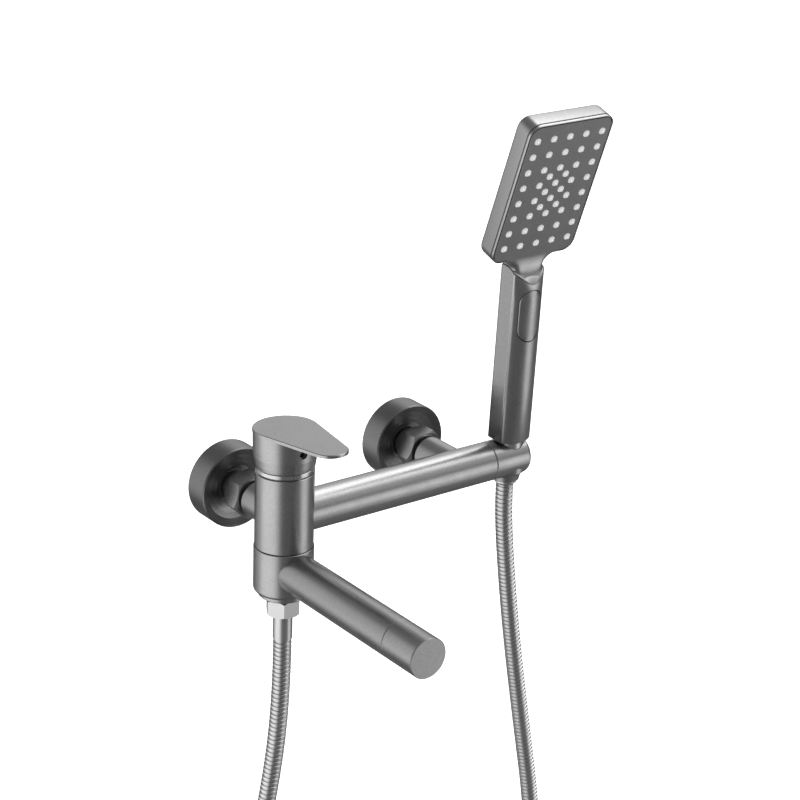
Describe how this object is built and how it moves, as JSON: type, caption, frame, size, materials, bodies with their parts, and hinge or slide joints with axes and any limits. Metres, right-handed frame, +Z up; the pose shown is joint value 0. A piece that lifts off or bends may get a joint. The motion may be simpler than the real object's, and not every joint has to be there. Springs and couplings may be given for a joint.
{
  "type": "wall mounted bath mixer",
  "caption": "Wall mounted bath mixer tap with a lever column, swivel spout, cross bar, shower holder, hose and rectangular hand shower.",
  "frame": {"origin": "on the wall plane, midway between the two inlet studs", "axes": "+Y into the wall along the studs, +X along the bar to the shower holder, +Z up"},
  "size_m": [0.2964, 0.2545, 0.8093],
  "materials": {
    "gunmetal": "satin, fine grained",
    "polished_trim": "polished, darkened",
    "face_grey": "satin",
    "nozzle_silicone": "matte, translucent white",
    "hose_steel": "bright, ringed",
    "bright_steel": "plain",
    "brass": "turned",
    "rubber": "matte",
    "inner_plastic": "moulded",
    "ceramic": "ground, stands in for ceramic"
  },
  "bodies": {
    "fixed": {"wall_union_hot": "gunmetal", "wall_union_cold": "gunmetal", "wall_flange_hot": "gunmetal", "wall_flange_cold": "gunmetal", "union_gasket_hot": "rubber", "union_gasket_cold": "rubber", "inlet_strainer_hot": "bright_steel", "inlet_strainer_cold": "bright_steel", "union_nut_hot": "gunmetal", "union_nut_cold": "gunmetal", "inlet_arm_hot": "gunmetal", "inlet_arm_cold": "gunmetal", "body_column": "gunmetal", "cross_bar": "gunmetal", "bar_end_plug": "brass", "holder_friction_ring": "inner_plastic", "cartridge_housing": "inner_plastic", "cartridge_nut": "brass", "ceramic_disc_fixed": "ceramic", "trim_dome": "polished_trim", "swivel_core": "brass", "core_seal_upper": "rubber", "core_seal_lower": "rubber", "glide_ring": "inner_plastic", "hose_outlet": "gunmetal", "hose_nut": "hose_steel", "hose_washer": "rubber", "hose_ferrule": "hose_steel", "hose_tube": "hose_steel"},
    "carrier": {"stem_carrier": "inner_plastic", "stem_pin": "brass", "ceramic_disc_turning": "ceramic"},
    "lever": {"lever_handle": "gunmetal", "lever_ring": "polished_trim", "lever_screw": "bright_steel", "cartridge_stem": "bright_steel"},
    "spout": {"spout_collar": "gunmetal", "diverter_sleeve": "inner_plastic", "spout_tube": "gunmetal", "spout_joiner": "brass", "spout_tip": "gunmetal", "spout_cap": "gunmetal", "aerator_housing": "gunmetal", "aerator_insert": "inner_plastic"},
    "holder": {"shower_holder": "gunmetal"},
    "handset": {"cone_nut": "hose_steel", "cone_washer": "rubber", "handset_handle": "gunmetal", "handset_connector": "gunmetal", "handset_pipe": "inner_plastic", "button_spring": "bright_steel", "handset_neck": "gunmetal", "head_back": "gunmetal", "face_plate": "face_grey", "nozzle_mat": "nozzle_silicone", "spray_chamber": "inner_plastic"},
    "button": {"pause_button": "gunmetal"}
  },
  "joints": [
    {"name": "lever_turn", "type": "hinge", "parent": "fixed", "child": "carrier", "pos_m": [-0.075, -0.0755, 0.03], "axis": [0, 0, 1], "range_deg": [-45, 45]},
    {"name": "lever_lift", "type": "hinge", "parent": "carrier", "child": "lever", "pos_m": [-0.075, -0.0755, 0.03], "axis": [-1, 0, 0], "range_deg": [0, 20]},
    {"name": "spout_swivel", "type": "hinge", "parent": "fixed", "child": "spout", "pos_m": [-0.075, -0.0755, -0.0368], "axis": [0, 0, 1], "range_deg": [-90, 90]},
    {"name": "holder_swivel", "type": "hinge", "parent": "fixed", "child": "holder", "pos_m": [0.121, -0.0755, 0], "axis": [1, 0, 0], "range_deg": [-10, 25], "deforming": ["hose_tube"]},
    {"name": "handset_lift", "type": "slide", "parent": "holder", "child": "handset", "axis": [0, -0.0436, 0.999], "range_m": [0, 0.04], "deforming": ["hose_tube"]},
    {"name": "button_press", "type": "slide", "parent": "handset", "child": "button", "axis": [0, 0.999, 0.0436], "range_m": [0, 0.002], "stiffness_N_per_m": 600, "deforming": ["button_spring"]}
  ]
}
